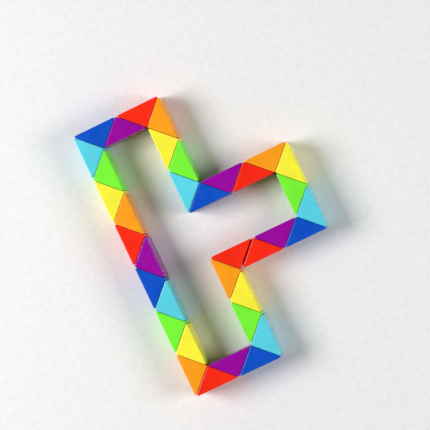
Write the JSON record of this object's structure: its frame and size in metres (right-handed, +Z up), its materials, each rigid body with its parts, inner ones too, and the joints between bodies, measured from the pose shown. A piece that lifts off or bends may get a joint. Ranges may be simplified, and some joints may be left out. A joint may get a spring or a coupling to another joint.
{
  "type": "twisty snake puzzle",
  "caption": "Chain of hollow triangular plastic wedges joined face to face by spring-loaded screw swivels, folded flat into a closed ring.",
  "frame": {"origin": "on the underside, below the middle of the folded ring's box", "axes": "+Z up through the wedges' depth, +Y along the ring's longest side, +X towards its short arm"},
  "size_m": [0.113, 0.1696, 0.0198],
  "materials": {
    "red_plastic": "moulded ABS, satin gloss",
    "purple_plastic": "moulded ABS, satin gloss",
    "blue_plastic": "moulded ABS, satin gloss",
    "light_blue_plastic": "moulded ABS, satin gloss",
    "green_plastic": "moulded ABS, satin gloss",
    "yellow_plastic": "moulded ABS, satin gloss",
    "orange_plastic": "moulded ABS, satin gloss",
    "steel": "bright zinc-plated steel"
  },
  "bodies": {
    "wedge_01": {"wedge_01_red": "red_plastic"},
    "wedge_02": {"wedge_02_purple": "purple_plastic", "screws_and_springs_02": "steel"},
    "wedge_03": {"wedge_03_blue": "blue_plastic"},
    "wedge_04": {"wedge_04_light_blue": "light_blue_plastic", "screws_and_springs_04": "steel"},
    "wedge_05": {"wedge_05_green": "green_plastic"},
    "wedge_06": {"wedge_06_yellow": "yellow_plastic", "screws_and_springs_06": "steel"},
    "wedge_07": {"wedge_07_orange": "orange_plastic"},
    "wedge_08": {"wedge_08_red": "red_plastic", "screws_and_springs_08": "steel"},
    "wedge_09": {"wedge_09_purple": "purple_plastic"},
    "wedge_10": {"wedge_10_blue": "blue_plastic", "screws_and_springs_10": "steel"},
    "wedge_11": {"wedge_11_light_blue": "light_blue_plastic"},
    "wedge_12": {"wedge_12_green": "green_plastic", "screws_and_springs_12": "steel"},
    "wedge_13": {"wedge_13_yellow": "yellow_plastic"},
    "wedge_14": {"wedge_14_orange": "orange_plastic", "screws_and_springs_14": "steel"},
    "wedge_15": {"wedge_15_red": "red_plastic"},
    "wedge_16": {"wedge_16_purple": "purple_plastic", "screws_and_springs_16": "steel"},
    "wedge_17": {"wedge_17_blue": "blue_plastic"},
    "wedge_18": {"wedge_18_light_blue": "light_blue_plastic", "screws_and_springs_18": "steel"},
    "wedge_19": {"wedge_19_green": "green_plastic"},
    "wedge_20": {"wedge_20_yellow": "yellow_plastic", "screws_and_springs_20": "steel"},
    "wedge_21": {"wedge_21_orange": "orange_plastic"},
    "wedge_22": {"wedge_22_red": "red_plastic", "screws_and_springs_22": "steel"},
    "wedge_23": {"wedge_23_purple": "purple_plastic"},
    "wedge_24": {"wedge_24_blue": "blue_plastic", "screws_and_springs_24": "steel"},
    "wedge_25": {"wedge_25_light_blue": "light_blue_plastic"},
    "wedge_26": {"wedge_26_green": "green_plastic", "screws_and_springs_26": "steel"},
    "wedge_27": {"wedge_27_yellow": "yellow_plastic"},
    "wedge_28": {"wedge_28_orange": "orange_plastic", "screws_and_springs_28": "steel"},
    "wedge_29": {"wedge_29_red": "red_plastic"},
    "wedge_30": {"wedge_30_purple": "purple_plastic", "screws_and_springs_30": "steel"},
    "wedge_31": {"wedge_31_blue": "blue_plastic"},
    "wedge_32": {"wedge_32_light_blue": "light_blue_plastic", "screws_and_springs_32": "steel"},
    "wedge_33": {"wedge_33_green": "green_plastic"},
    "wedge_34": {"wedge_34_yellow": "yellow_plastic", "screws_and_springs_34": "steel"},
    "wedge_35": {"wedge_35_orange": "orange_plastic"},
    "wedge_36": {"wedge_36_red": "red_plastic", "screws_and_springs_36": "steel"}
  },
  "joints": [
    {"name": "joint_01_02", "type": "hinge", "parent": "wedge_02", "child": "wedge_01", "pos_m": [0.02121, -0.02121, 0.0099], "axis": [0.7071, 0.7071, 0], "range_deg": [-5, 5]},
    {"name": "joint_02_03", "type": "hinge", "parent": "wedge_03", "child": "wedge_02", "pos_m": [0.03535, -0.02121, 0.0099], "axis": [-0.7071, 0.7071, 0], "range_deg": [-15, 15]},
    {"name": "joint_03_04", "type": "hinge", "parent": "wedge_04", "child": "wedge_03", "pos_m": [0.0495, -0.02121, 0.0099], "axis": [-0.7071, -0.7071, 0], "range_deg": [-5, 5]},
    {"name": "joint_04_05", "type": "hinge", "parent": "wedge_05", "child": "wedge_04", "pos_m": [0.0495, -0.00707, 0.0099], "axis": [0.7071, -0.7071, 0], "range_deg": [-15, 15]},
    {"name": "joint_05_06", "type": "hinge", "parent": "wedge_06", "child": "wedge_05", "pos_m": [0.0495, 0.00707, 0.0099], "axis": [0.7071, 0.7071, 0], "range_deg": [-5, 5]},
    {"name": "joint_06_07", "type": "hinge", "parent": "wedge_07", "child": "wedge_06", "pos_m": [0.0495, 0.02121, 0.0099], "axis": [-0.7071, 0.7071, 0], "continuous": true},
    {"name": "joint_07_08", "type": "hinge", "parent": "wedge_08", "child": "wedge_07", "pos_m": [0.03535, 0.02121, 0.0099], "axis": [-0.7071, -0.7071, 0], "range_deg": [-5, 5]},
    {"name": "joint_08_09", "type": "hinge", "parent": "wedge_09", "child": "wedge_08", "pos_m": [0.02121, 0.02121, 0.0099], "axis": [-0.7071, 0.7071, 0], "continuous": true},
    {"name": "joint_09_10", "type": "hinge", "parent": "wedge_10", "child": "wedge_09", "pos_m": [0.00707, 0.02121, 0.0099], "axis": [0.7071, 0.7071, 0], "range_deg": [-5, 5]},
    {"name": "joint_10_11", "type": "hinge", "parent": "wedge_11", "child": "wedge_10", "pos_m": [-0.00707, 0.02121, 0.0099], "axis": [0.7071, -0.7071, 0], "range_deg": [-90, 90]},
    {"name": "joint_11_12", "type": "hinge", "parent": "wedge_12", "child": "wedge_11", "pos_m": [-0.00707, 0.03535, 0.0099], "axis": [-0.7071, -0.7071, 0], "range_deg": [-15, 15]},
    {"name": "joint_12_13", "type": "hinge", "parent": "wedge_13", "child": "wedge_12", "pos_m": [-0.00707, 0.0495, 0.0099], "axis": [-0.7071, 0.7071, 0], "continuous": true},
    {"name": "joint_13_14", "type": "hinge", "parent": "wedge_14", "child": "wedge_13", "pos_m": [-0.00707, 0.06364, 0.0099], "axis": [-0.7071, -0.7071, 0], "range_deg": [-15, 15]},
    {"name": "joint_14_15", "type": "hinge", "parent": "wedge_15", "child": "wedge_14", "pos_m": [-0.00707, 0.07778, 0.0099], "axis": [-0.7071, 0.7071, 0], "continuous": true},
    {"name": "joint_15_16", "type": "hinge", "parent": "wedge_16", "child": "wedge_15", "pos_m": [-0.02121, 0.07778, 0.0099], "axis": [0.7071, 0.7071, 0], "range_deg": [-15, 15]},
    {"name": "joint_16_17", "type": "hinge", "parent": "wedge_17", "child": "wedge_16", "pos_m": [-0.03535, 0.07778, 0.0099], "axis": [0.7071, -0.7071, 0], "range_deg": [-15, 15]},
    {"name": "joint_17_18", "type": "hinge", "parent": "wedge_18", "child": "wedge_17", "pos_m": [-0.0495, 0.07778, 0.0099], "axis": [-0.7071, -0.7071, 0], "continuous": true},
    {"name": "joint_18_19", "type": "hinge", "parent": "wedge_18", "child": "wedge_19", "pos_m": [-0.0495, 0.06364, 0.0099], "axis": [0.7071, -0.7071, 0], "range_deg": [-15, 15]},
    {"name": "joint_19_20", "type": "hinge", "parent": "wedge_19", "child": "wedge_20", "pos_m": [-0.0495, 0.0495, 0.0099], "axis": [-0.7071, -0.7071, 0], "continuous": true},
    {"name": "joint_20_21", "type": "hinge", "parent": "wedge_20", "child": "wedge_21", "pos_m": [-0.0495, 0.03535, 0.0099], "axis": [0.7071, -0.7071, 0], "range_deg": [-15, 15]},
    {"name": "joint_21_22", "type": "hinge", "parent": "wedge_21", "child": "wedge_22", "pos_m": [-0.0495, 0.02121, 0.0099], "axis": [-0.7071, -0.7071, 0], "continuous": true},
    {"name": "joint_22_23", "type": "hinge", "parent": "wedge_22", "child": "wedge_23", "pos_m": [-0.0495, 0.00707, 0.0099], "axis": [0.7071, -0.7071, 0], "range_deg": [-15, 15]},
    {"name": "joint_23_24", "type": "hinge", "parent": "wedge_23", "child": "wedge_24", "pos_m": [-0.0495, -0.00707, 0.0099], "axis": [0.7071, 0.7071, 0], "range_deg": [-90, 90]},
    {"name": "joint_24_25", "type": "hinge", "parent": "wedge_24", "child": "wedge_25", "pos_m": [-0.0495, -0.02121, 0.0099], "axis": [0.7071, -0.7071, 0], "range_deg": [-90, 90]},
    {"name": "joint_25_26", "type": "hinge", "parent": "wedge_25", "child": "wedge_26", "pos_m": [-0.0495, -0.03535, 0.0099], "axis": [-0.7071, -0.7071, 0], "range_deg": [-5, 5]},
    {"name": "joint_26_27", "type": "hinge", "parent": "wedge_26", "child": "wedge_27", "pos_m": [-0.0495, -0.0495, 0.0099], "axis": [0.7071, -0.7071, 0], "continuous": true},
    {"name": "joint_27_28", "type": "hinge", "parent": "wedge_27", "child": "wedge_28", "pos_m": [-0.0495, -0.06364, 0.0099], "axis": [-0.7071, -0.7071, 0], "range_deg": [-5, 5]},
    {"name": "joint_28_29", "type": "hinge", "parent": "wedge_28", "child": "wedge_29", "pos_m": [-0.0495, -0.07778, 0.0099], "axis": [0.7071, -0.7071, 0], "continuous": true},
    {"name": "joint_29_30", "type": "hinge", "parent": "wedge_29", "child": "wedge_30", "pos_m": [-0.03535, -0.07778, 0.0099], "axis": [0.7071, 0.7071, 0], "range_deg": [-5, 5]},
    {"name": "joint_30_31", "type": "hinge", "parent": "wedge_30", "child": "wedge_31", "pos_m": [-0.02121, -0.07778, 0.0099], "axis": [0.7071, -0.7071, 0], "range_deg": [-15, 15]},
    {"name": "joint_31_32", "type": "hinge", "parent": "wedge_31", "child": "wedge_32", "pos_m": [-0.00707, -0.07778, 0.0099], "axis": [0.7071, 0.7071, 0], "range_deg": [-5, 5]},
    {"name": "joint_32_33", "type": "hinge", "parent": "wedge_32", "child": "wedge_33", "pos_m": [-0.00707, -0.06364, 0.0099], "axis": [-0.7071, 0.7071, 0], "range_deg": [-15, 15]},
    {"name": "joint_33_34", "type": "hinge", "parent": "wedge_33", "child": "wedge_34", "pos_m": [-0.00707, -0.0495, 0.0099], "axis": [0.7071, 0.7071, 0], "range_deg": [-5, 5]},
    {"name": "joint_34_35", "type": "hinge", "parent": "wedge_34", "child": "wedge_35", "pos_m": [-0.00707, -0.03535, 0.0099], "axis": [-0.7071, 0.7071, 0], "continuous": true},
    {"name": "joint_35_36", "type": "hinge", "parent": "wedge_35", "child": "wedge_36", "pos_m": [-0.00707, -0.02121, 0.0099], "axis": [0.7071, 0.7071, 0], "range_deg": [-5, 5]}
  ]
}
